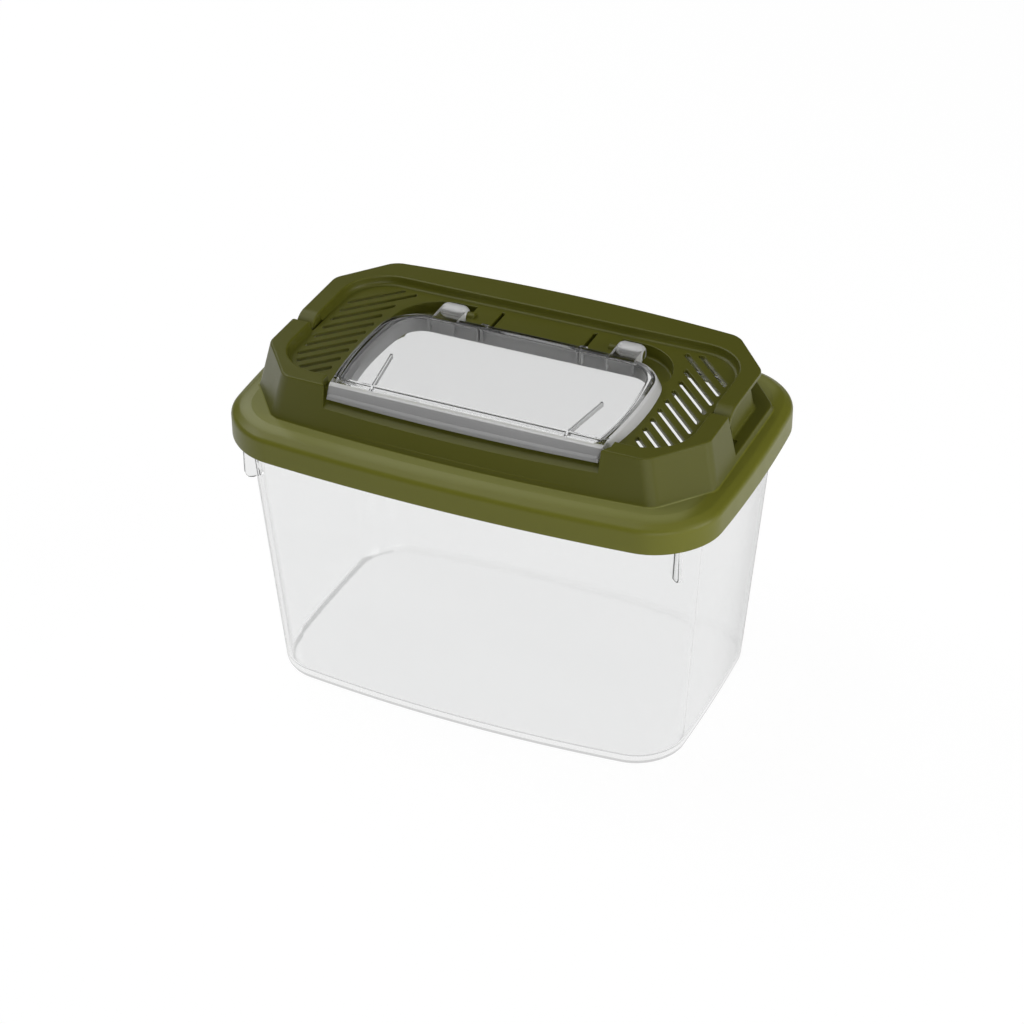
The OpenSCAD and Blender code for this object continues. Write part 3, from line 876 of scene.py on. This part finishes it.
def line_span(point, direction, ring):
    """Where a straight line is inside a convex outline, as two distances along it."""
    hits = []
    for a, b in zip(ring, ring[1:] + ring[:1]):
        edge = b - a
        cross = direction.x * edge.y - direction.y * edge.x
        if abs(cross) < 1e-9:
            continue
        away = a - point
        along = (away.x * edge.y - away.y * edge.x) / cross
        share = (away.x * direction.y - away.y * direction.x) / cross
        if -1e-9 <= share <= 1 + 1e-9:
            hits.append(along)
    return (min(hits), max(hits)) if len(hits) > 1 else None


def slot_side(point, along, outer, inner):
    """The stretch of a slot's long side between the rim of the sunk floor and the door's surround."""
    span = line_span(point, along, outer)
    if span is None:
        return None
    low, high = span
    hidden = line_span(point, along, inner)
    if hidden:
        # Of the two pieces of the line outside the door, the one on this end is kept.
        pieces = [p for p in ((low, min(high, hidden[0])), (max(low, hidden[1]), high)) if p[1] - p[0] > 0.5]
        pieces = [p for p in pieces if (point + along * (p[0] + p[1]) / 2).x > 50] or pieces
        if not pieces:
            return None
        low, high = max(pieces, key=lambda p: p[1] - p[0])
    # Nothing is cut nearer the middle than the door's side.
    high = min(high, (point.x - 56.0) / -along.x)
    return (point + along * low, point + along * high) if high - low >= 2.5 else None


def slot_quads():
    """Corners of the slanted slots between the door and the rim of the sunk floor."""
    turn = math.radians(SLOT_ANGLE)
    across = Vector((math.cos(turn), math.sin(turn)))
    along = Vector((-math.sin(turn), math.cos(turn)))
    outer = recess_outline(-3.2)
    inner = rounded_box(-61.6, 61.6, -117.6, 41.1, 2.0, 25.6, steps=24)
    quads = []
    for i in range(SLOT_COUNT):
        middle = SLOT_START + i * SLOT_PITCH
        first = slot_side(across * (middle - SLOT_HALF), along, outer, inner)
        second = slot_side(across * (middle + SLOT_HALF), along, outer, inner)
        if first and second:
            quads.append([first[0], second[0], second[1], first[1]])
    return quads


def slot_cutter(quad):
    """One slot, with its ends rounded and its edges eased above and below."""
    away = (quad[2] - quad[1]).normalized()
    across = Vector((away.y, -away.x))

    def outline(grow):
        corners = [
            quad[0] - (away + across) * grow, quad[1] - (away - across) * grow,
            quad[2] + (away + across) * grow, quad[3] + (away - across) * grow,
        ]
        return soft_polygon(corners, [0.55 + grow / 2] * 4, (1, 1, 1, 1), 5)

    return stack(outline, [
        (0.35, 129.0), (0.35, 131.38), (0.12, 131.5), (0.0, 131.8), (0.0, 133.05), (0.08, 133.25),
        (0.3, 133.41), (0.6, 134.5),
    ])


def lid_space():
    """Everything hollow under the lid, less what lines the floor, the notch, the wells and the pockets."""
    space = stack(rim_outline, [
        (1.5, 100.0), (1.5, SKIRT_FOOT), (1.75, 106.95), (1.95, 107.25), (LID_WALL, 107.6),
        (LID_WALL, TANK_TOP),
    ])
    join(space, block_space(LID_WALL), scooped_space(LID_WALL))
    floor = loft([recess_outline(LID_WALL)] * 2, [SUNK_FLOOR - LID_WALL, TOP + 3])
    # The notch's slope is as thick as the lid, measured square to it.
    back, foot, under = -37.5, -57.9, 130.6
    slope_profile = [(back, 145.0), (foot, 145.0), (foot, 117.3), (NOTCH_SLOPE_Y, under), (back, under)]
    slope = along_x([slope_profile] * 2, [-NOTCH_HALF - LID_WALL, NOTCH_HALF + LID_WALL])
    well = well_outline(LID_WALL, [0.5, 2.5, 22, 0.5])
    liners = [
        loft([well] * 2, [WELL_FLOOR - LID_WALL, SUNK_FLOOR - 0.3]),
        block(
            (POCKET_WALL - LID_WALL, BLOCK_BACK - LID_WALL, POCKET_FLOOR - LID_WALL),
            (130, POCKET_BACK + LID_WALL, SUNK_FLOOR - 0.2),
        ),
        rod(4.0, POCKET_WALL - 5.5, POCKET_WALL, PIVOT_Y, PIVOT_Z),
    ]
    return cut(space, floor, facing_out(slope), *liners, *[mirrored(liner) for liner in liners])


def hinge_lug():
    """Lug on the well's floor with the pin that a door clip snaps over."""
    left, right, front, back, ease = 20.0, 30.6, 19.0, 37.0, 0.25
    ring = [Vector(p) for p in ((left, front), (right, front), (right, back), (left, back))]
    narrow = [Vector((p.x + math.copysign(ease, 25.0 - p.x), p.y)) for p in ring]
    lug = loft([ring, ring, narrow], [WELL_FLOOR - 0.5, SUNK_FLOOR - ease, SUNK_FLOOR])
    pin = rod(PIN_RADIUS, 28.0, 42.0, HINGE_Y, HINGE_Z, 0.4)
    return join(lug, pin)


def make_lid():
    """The shell, what is cut out of it, and the hinge lugs in its wells."""
    lid = cut(lid_shell(), lid_space(), recess_cutter())
    # The floor behind the corner blocks is level out to the scoops.
    cut(lid, block((-100, BLOCK_BACK + 0.3, SUNK_FLOOR), (100, 70, 145)))
    opening = stack(opening_outline, [
        (0.0, SHOULDER), (0.0, 133.05), (0.08, 133.25), (0.3, 133.41), (0.6, ABOVE),
    ])
    cut(lid, opening, notch_cutter(), rear_relief())
    bore = rod(BORE_RADIUS, POCKET_WALL - 3.5, POCKET_WALL + 5, PIVOT_Y, PIVOT_Z)
    slots = [slot_cutter(quad) for quad in slot_quads()]
    for cutter in (*pocket_cutters(), bore, well_cutter(), *slots):
        cut(lid, *on_both_ends(cutter))
    return join(lid, *on_both_ends(hinge_lug()))


def rear_relief():
    """Takes the wells' floors back a little behind the door's inner skirt."""
    corners = [(-52.0, 14.0), (52.0, 14.0), (52.0, 21.5), (-52.0, 21.5)]
    outline = soft_polygon([Vector(c) for c in corners], [0.5, 0.5, 7.0, 7.0], (1, 1, 1, 1), 10)
    return loft([outline] * 2, [SHOULDER + 1, WELL_FLOOR + 0.3])


def pocket_cutters():
    """Room for a handle arm's ear, behind the scoop's wall, and for its rounded end."""
    def room(x0, x1, back, floor):
        def outline(grow):
            corners = [
                (x0 - grow, BLOCK_BACK - grow), (x1 + grow, BLOCK_BACK - grow),
                (x1 + grow, back + grow), (x0 - grow, back + grow),
            ]
            return soft_polygon(corners, [0.6 + max(grow, -0.3)] * 4, (1, 1, 1, 1), 4)

        return stack(outline, [(-0.5, floor), (-0.2, floor + 0.1), (0.0, floor + 0.35), (0.0, ABOVE)])

    ear_room = room(POCKET_WALL, EAR_ROOM, POCKET_BACK, 122.4)
    arm_room = room(POCKET_WALL, ARM_ROOM, ARM_ROOM_BACK, POCKET_FLOOR + 0.2)
    return [ear_room, arm_room]


# Feeding door

def door_cap():
    """Pane and flared sides, hollow below."""
    def ring(inset, z):
        share = (TOP - z) / (TOP - SUNK_FLOOR)
        return blend_rings(door_top_outline(-inset), door_foot_outline(-inset), share)

    edge = [(inset, TOP - drop) for inset, drop in quarter(0.9, 5)][1:]
    outer = leaning_stack(ring, [(0.0, SUNK_FLOOR), (0.0, 135.2), (0.0, 136.3)] + edge)
    inner = leaning_stack(ring, [
        (DOOR_WALL, SUNK_FLOOR - 0.5), (DOOR_WALL, 134.9), (DOOR_WALL + 0.12, 135.3),
        (DOOR_WALL + 0.4, 135.58), (DOOR_WALL + 0.8, PANE_UNDERSIDE),
    ])
    return cut(outer, inner)


def door_skirt():
    """The wall that dips into the opening and leans in under the pane."""
    def ring(inset, z):
        share = min(1.0, max(0.0, (z - SUNK_FLOOR) / 3.0))
        return blend_rings(opening_outline(-0.7 - inset), door_top_outline(-1.8 - inset), share)

    plug = leaning_stack(ring, [(0.3, 128.4), (0.1, 128.5), (0.0, 128.75), (0.0, SUNK_FLOOR), (0.0, 136.4)])
    hollow = leaning_stack(ring, [(DOOR_WALL + inset, z) for inset, z in (
        (-0.3, 120.0), (-0.3, 128.4), (-0.1, 128.5), (0.0, 128.75), (0.0, SUNK_FLOOR), (0.0, 135.3),
        (0.12, 135.58), (0.4, PANE_UNDERSIDE),
    )])
    return cut(plug, hollow)


def make_door():
    """Cap, skirt and lip, with a clip and a rib on each end."""
    door = join(door_cap(), door_skirt(), door_lip())
    join(door, *on_both_ends(door_clip()))
    return join(door, *on_both_ends(gusset()))


def lip_profile(drop):
    """The lip's section in Y and Z, from the door's top round the tip and back; drop lowers its top."""
    brow_y, brow_z = BROW_Y, 136.3
    tip_y, tip_z = -47.5, 132.4
    return [
        (-38.8, 137.15 - drop),
        (-40.0, 137.15 - drop),
        (-41.0, 137.0 - drop),
        (-42.0, 136.65 - drop),
        (brow_y, brow_z - 0.08 - drop),
        (-43.5, 135.66 - drop),
        (-44.3, 134.98 - drop),
        (-45.2, 134.2 - drop),
        (-45.95, 133.52 - drop),
        (-46.12, 133.28 - drop),
        (-46.2, 133.24 - drop),
        (tip_y + 0.45, tip_z + 0.22 - drop),
        (tip_y + 0.12, tip_z - 0.05 - drop),
        (tip_y, tip_z - 0.35 - drop),
        (tip_y, tip_z - 1.15),
        (tip_y + 0.12, tip_z - 1.4),
        (tip_y + 0.4, tip_z - 1.5),
        (tip_y + 1.3, tip_z - 1.5),
        (tip_y + 1.6, tip_z - 1.4),
        (brow_y + 0.35, 134.3),
        (brow_y + 1.2, 134.75),
        (-40.4, 135.0),
        (-38.8, 135.08),
    ]


def door_lip():
    """Finger lip along the door's front, with rounded ends."""
    ends = [(DOOR_HALF, 0.45), (54.88, 0.2), (54.6, 0.06), (54.2, 0.0)]
    middle = [(-45.0 + 10 * k, 0.0) for k in range(10)]
    stations = [(-x, drop) for x, drop in ends] + middle + [(x, drop) for x, drop in reversed(ends)]
    lip = along_x([lip_profile(drop) for x, drop in stations], [x for x, drop in stations])
    narrowing, sweep_back, sweep_up = 0.8, 0.8, 0.7
    for vertex in lip.data.vertices:
        # Towards its lower edge the lip narrows a little, and its ends sweep back and up.
        share = min(1.0, max(0.0, (BROW_Y - vertex.co.y) / 4.7))
        sweep = share * (vertex.co.x / DOOR_HALF) ** 2
        vertex.co.x -= narrowing * share * vertex.co.x / DOOR_HALF
        vertex.co.y += sweep_back * sweep
        vertex.co.z += sweep_up * sweep
    return facing_out(lip)


def gusset():
    """Thin slanted rib under the pane, from the brow towards the back."""
    length, width, ease = 26.0, 1.0, 0.15
    angle = math.atan2(4.0, length)
    c, s = math.cos(angle), math.sin(angle)
    origin = Vector((38.5, -40.3))

    def outline(inset, far_end):
        places = [(0, inset), (0, width - inset), (far_end, width - inset), (far_end, inset)]
        return [origin + Vector((across * c + along * s, along * c - across * s)) for along, across in places]

    foot = outline(0.0, length)
    return facing_out(loft([outline(ease, length - 0.3), foot, foot], [133.75, 133.95, 135.8]))


def door_clip():
    """A clip with rounded shoulders that snaps over a hinge pin, its web and the ribs under it."""
    levels = [(0.0, 1.9), (0.45, 2.75), (1.1, 3.35), (1.9, 3.72), (2.8, 3.88)]
    stations = [31.1 + step for step, radius in levels] + [42.4 - step for step, radius in reversed(levels)]
    radii = [radius for step, radius in levels]
    clip = along_x([circle(r, HINGE_Y, HINGE_Z) for r in radii + radii[::-1]], stations)
    web = block((31.6, 16.0, 132.1), (41.9, HINGE_Y, 135.6))
    join(clip, web)
    bore = rod(BORE_RADIUS, 26.0, 47.0, HINGE_Y, HINGE_Z)
    mouth = block((26.0, HINGE_Y - 1.6, 124.0), (47.0, HINGE_Y + 1.6, HINGE_Z))
    cut(clip, bore, mouth)
    ribs = [block((x - 0.5, 15.0, 130.2), (x + 0.5, 18.2, 135.7)) for x in (31.6, 42.0, 19.6, 21.4)]
    tab = rod(1.5, 18.9, 22.0, 20.2, 134.6, 0.5)
    return join(clip, tab, *ribs)


# Carrying handle

def arm_section(inset):
    """Section of an arm in X and in distance from the pivot, counterclockwise."""
    e = inset
    return [
        (82.0 + e, 6.0 + e), (88.8 - e, 6.0 + e), (89.0 - e, 6.1 + e), (89.1 - e, 6.3 + e),
        (89.1 - e, 7.45 - e), (89.0 - e, 7.75 - e), (88.8 - e, 7.92 - e), (88.5 - e, 8.0 - e),
        (82.5 + e, 8.0 - e), (82.15 + e, 7.93 - e), (81.9 + e, 7.72 - e), (EAR_INSIDE + e, 7.4 - e),
        (EAR_INSIDE + e, 6.2 + e),
    ]


def arm_end():
    """Rounded front end of an arm with its ear and pivot pin."""
    turns = [-3.0 + 93.0 * k / 20 for k in range(21)]
    insets = [0.0] * 19 + [0.1, 0.32]
    rows = []
    for turn, inset in zip(turns, insets):
        a = math.radians(turn)
        section = arm_section(inset)
        rows.append([(x, PIVOT_Y - r * math.sin(a), PIVOT_Z + r * math.cos(a)) for x, r in section])
    arm = facing_out(skin(rows))
    ear = rod(6.05, EAR_INSIDE, EAR_OUTSIDE, PIVOT_Y, PIVOT_Z, 0.25)
    web = block((EAR_INSIDE, PIVOT_Y, PIVOT_Z), (EAR_OUTSIDE, PIVOT_Y + 6.0, 136.2))
    pin = rod(PIN_RADIUS, 78.3, 82.2, PIVOT_Y, PIVOT_Z, 0.35)
    return join(arm, ear, web, pin)


def handle_inner_ring(grow):
    """The arms' inner faces are straight, and round the back they run out into a cove."""
    if grow >= 0:
        return recess_outline(grow)
    cove_start, cove_run = 6.6, 10.4
    wide, narrow = recess_outline(0.0), recess_outline(grow)
    return [a.lerp(b, min(1.0, max(0.0, (a.y - cove_start) / cove_run))) for a, b in zip(wide, narrow)]


def make_handle():
    """Rear band and arms, cut along their inner edge, with the rounded ends of the arms."""
    edge = [(inset, TOP - drop) for inset, drop in quarter(0.6)]
    plate = stack(raised_top, [(0.3, 135.2), (0.1, 135.3), (0.0, 135.5)] + edge)
    flange = stack(recess_outline, [(1.3, 133.48), (1.52, 133.6), (1.6, 133.85), (1.6, 136.4)])
    join(plate, flange)
    inner = stack(handle_inner_ring, [
        (-1.6, 130.0), (-1.6, 133.48), (-1.05, 133.62), (-0.6, 133.9), (-0.28, 134.4), (-0.1, 135.05),
        (0.0, 136.0), (0.0, 136.55), (0.1, 136.9), (0.35, 137.1), (0.75, 137.22), (1.0, ABOVE),
    ])
    cut(plate, inner, block((-120, -70, 120), (120, PIVOT_Y, 150)))
    return join(plate, *on_both_ends(arm_end()))


# The four pieces

DOOR_PLASTICS = [door_plastic, skirt_plastic, lip_plastic, milky_and_highlight_plastic, painted_crease_shade_plastic, outer_plastic]
CLEAR, WALL_INSIDE, FROSTED, MILKY_AND_HIGHLIGHT, PAINTED_CREASE_SHADE, WALL_OUTSIDE = range(6)
PANE_OUTLINE = door_top_outline(-2.75)


def door_face(centre, normal):
    """Which of the door's plastics a face has: the mould left its pane clear and the rest hazy, and some
    faces carry painted highlights, painted light and painted shade.
    """
    if centre.y < -42.0 and abs(normal.x) < 0.95 and centre.z > 130.5 and abs(centre.x) < 55.1:
        # The brow's upward faces get the whitish plastic as a painted highlight.
        return MILKY_AND_HIGHLIGHT if normal.z > 0.2 and centre.y > -43.4 else FROSTED
    hinge_side = centre.y > 24.2 or (centre.y > 21.5 and abs(normal.x) > 0.9)
    if hinge_side:
        return MILKY_AND_HIGHLIGHT
    span = line_span(centre.to_2d(), Vector((1.0, 0.0)), PANE_OUTLINE)
    under_pane = span is not None and span[0] < 0 < span[1]
    # Painted shade: the pane's downward edge faces get near-black plastic.
    if under_pane and 134.95 < centre.z < PANE_UNDERSIDE - 0.01 and -0.97 < normal.z < -0.2:
        return PAINTED_CREASE_SHADE
    # The right-hand end gets whiter and clearer plastics than the left: painted light falling on that end.
    painted_light_right_end = centre.x > 44
    ledge_underside = abs(centre.z - PANE_UNDERSIDE) < 0.05 and normal.z < -0.9 and not under_pane
    if ledge_underside:
        return MILKY_AND_HIGHLIGHT if painted_light_right_end else FROSTED
    rounded_top_edge = centre.y > -36 and centre.z > 136.3 and 0.05 < normal.z < 0.985
    if rounded_top_edge:
        return WALL_OUTSIDE if painted_light_right_end else FROSTED
    front_wall = centre.y < -34 and abs(normal.y) > 0.7
    upright = abs(normal.z) < 0.8 and 128.4 < centre.z < 136.9
    if front_wall or not upright:
        return CLEAR
    inward = normal.x * centre.x + normal.y * (centre.y - DOOR_MIDDLE) < 0
    if inward and painted_light_right_end:
        return CLEAR
    return WALL_INSIDE if inward else WALL_OUTSIDE


def tank_face(centre, normal):
    """1 for the thick round edge of the base, but for its back, which gets grey plastic as painted shade; 0
    for the rest.
    """
    return 1 if centre.z < 2.7 and -0.98 < normal.z < 0.5 and normal.y < 0.3 else 0


finished(make_tank(), "clear_tank", "tank", [tank_plastic, tank_edge_shade_plastic], tank_face)
finished(make_lid(), "olive_lid", "lid", [olive_plastic])
finished(make_door(), "clear_feeding_door", "feeding_door", DOOR_PLASTICS, door_face)
finished(make_handle(), "olive_carry_handle", "carry_handle", [olive_plastic])

for left_over in list(workshop.objects):
    bpy.data.objects.remove(left_over)
bpy.data.collections.remove(workshop)


# Floor

def floor_material():
    """White floor: plain and shadowed for the lamps, white for whoever looks at it."""
    material, nodes, links, shell, out = new_material("studio_floor")
    nodes.remove(shell)
    plain = nodes.new("ShaderNodeBsdfDiffuse")
    plain.inputs["Color"].default_value = (0.82, 0.82, 0.82, 1)
    glow = nodes.new("ShaderNodeEmission")
    path = nodes.new("ShaderNodeLightPath")
    by_camera, through_glass = path.outputs["Is Camera Ray"], path.outputs["Is Transmission Ray"]
    seen = math_node(nodes, links, "MAXIMUM", by_camera, through_glass)
    # Through the clear walls it looks a little greyer than beside them.
    beside = math_node(nodes, links, "MULTIPLY", by_camera, 0.15)
    links.new(math_node(nodes, links, "ADD", beside, 0.92), glow.inputs["Strength"])
    # Shiny surfaces see it bright round and behind the object, and dim far out in front.
    axes = place_axes(nodes, links, "Object")
    near = eased_range(nodes, links, axes["Y"], -1.3, -0.25, 0.15, 0.85)
    reflected_share = math_node(nodes, links, "MULTIPLY", path.outputs["Is Glossy Ray"], near)
    seen_share = math_node(nodes, links, "MULTIPLY", seen, 0.88)
    share = math_node(nodes, links, "MAXIMUM", seen_share, reflected_share)
    links.new(mixed_shader(nodes, links, share, plain.outputs[0], glow.outputs[0]), out.inputs["Surface"])
    return material


def make_floor():
    half = 4.0
    mesh = bpy.data.meshes.new("floor")
    corners = [(-half, -half, 0), (half, -half, 0), (half, half, 0), (-half, half, 0)]
    mesh.from_pydata(corners, [], [(0, 1, 2, 3)])
    floor = bpy.data.objects.new("floor", mesh)
    bpy.context.scene.collection.objects.link(floor)
    mesh.materials.append(floor_material())
    return floor


# Light

def make_world():
    """A dim studio surround with a broad soft light overhead."""
    world = bpy.data.worlds.new("studio_surround")
    bpy.context.scene.world = world
    world.use_nodes = True
    nodes, links = world.node_tree.nodes, world.node_tree.links
    back = nodes["Background"]
    back.inputs["Color"].default_value = (1, 1, 1, 1)
    axes = place_axes(nodes, links, "Generated")
    low, high = math.sin(math.radians(52)), math.sin(math.radians(66))
    links.new(eased_range(nodes, links, axes["Z"], low, high, 0.04, 0.42), back.inputs["Strength"])


def direction(azimuth, elevation):
    """Unit vector from the object towards a place round it, at azimuth 0 in front of it."""
    level = math.cos(elevation)
    return Vector((math.sin(azimuth) * level, -math.cos(azimuth) * level, math.sin(elevation)))


def softbox(name, azimuth, elevation, distance, width, height, power, target=(0, 0, 0.08)):
    """A rectangular lamp that looks at the object from a direction round it."""
    lamp = bpy.data.lights.new(name, "AREA")
    lamp.shape = "RECTANGLE"
    lamp.size, lamp.size_y = width, height
    lamp.energy = power
    back = direction(math.radians(azimuth), math.radians(elevation))
    made = bpy.data.objects.new(name, lamp)
    made.location = Vector(target) + back * distance
    made.rotation_mode = "QUATERNION"
    made.rotation_quaternion = (-back).to_track_quat("-Z", "Y")
    bpy.context.scene.collection.objects.link(made)
    return made


def make_lamps():
    """Soft lamps: direction in degrees, distance, width and height in metres, power in watts."""
    softbox("front_right_low", 35, 12, 1.6, 1.3, 0.6, 7.5)
    softbox("right_low", 90, 12, 1.6, 0.8, 0.6, 7.0)
    softbox("right_high", 90, 45, 1.6, 0.8, 0.6, 2.4)
    softbox("left_high", 270, 45, 1.6, 0.8, 0.6, 4.8)
    softbox("rear_left_strip", 228, 40, 1.6, 0.4, 1.2, 3.0)
    softbox("overhead_left", 285, 72, 1.6, 0.9, 0.6, 2.6)


# Camera at the photograph's viewing angle

# The camera fitted to the photograph: its direction, distance in metres, and focal length and
# middle of the view in pixels of a picture that is 1024 pixels wide and high
VIEW_AZIMUTH, VIEW_ELEVATION, VIEW_ROLL = 24.4314, 34.3055, -0.401
VIEW_DISTANCE, VIEW_TARGET = 1.12985, Vector((0, 0, 0.0534))
PICTURE_SIZE = 1024
FOCAL_PIXELS, MIDDLE_X, MIDDLE_Y = 2890.54, 513.14, 542.32
SENSOR = 36.0


def make_camera():
    away = direction(math.radians(VIEW_AZIMUTH), math.radians(VIEW_ELEVATION))
    right = (-away).cross(Vector((0, 0, 1))).normalized()
    up = right.cross(-away)
    roll = math.radians(VIEW_ROLL)
    right_rolled = math.cos(roll) * right + math.sin(roll) * up
    up_rolled = -math.sin(roll) * right + math.cos(roll) * up
    turn = Matrix((right_rolled, up_rolled, away)).transposed().to_4x4()
    lens = bpy.data.cameras.new("photo_camera")
    lens.sensor_width = SENSOR
    lens.lens = FOCAL_PIXELS * SENSOR / PICTURE_SIZE
    lens.shift_x = -(MIDDLE_X - PICTURE_SIZE / 2) / PICTURE_SIZE
    lens.shift_y = (MIDDLE_Y - PICTURE_SIZE / 2) / PICTURE_SIZE
    lens.clip_start, lens.clip_end = 0.05, 50.0
    camera = bpy.data.objects.new("photo_camera", lens)
    camera.matrix_world = Matrix.Translation(VIEW_TARGET + away * VIEW_DISTANCE) @ turn
    bpy.context.scene.collection.objects.link(camera)
    bpy.context.scene.camera = camera


make_floor()
make_world()
make_lamps()
make_camera()
bpy.context.scene.view_settings.view_transform = "Standard"
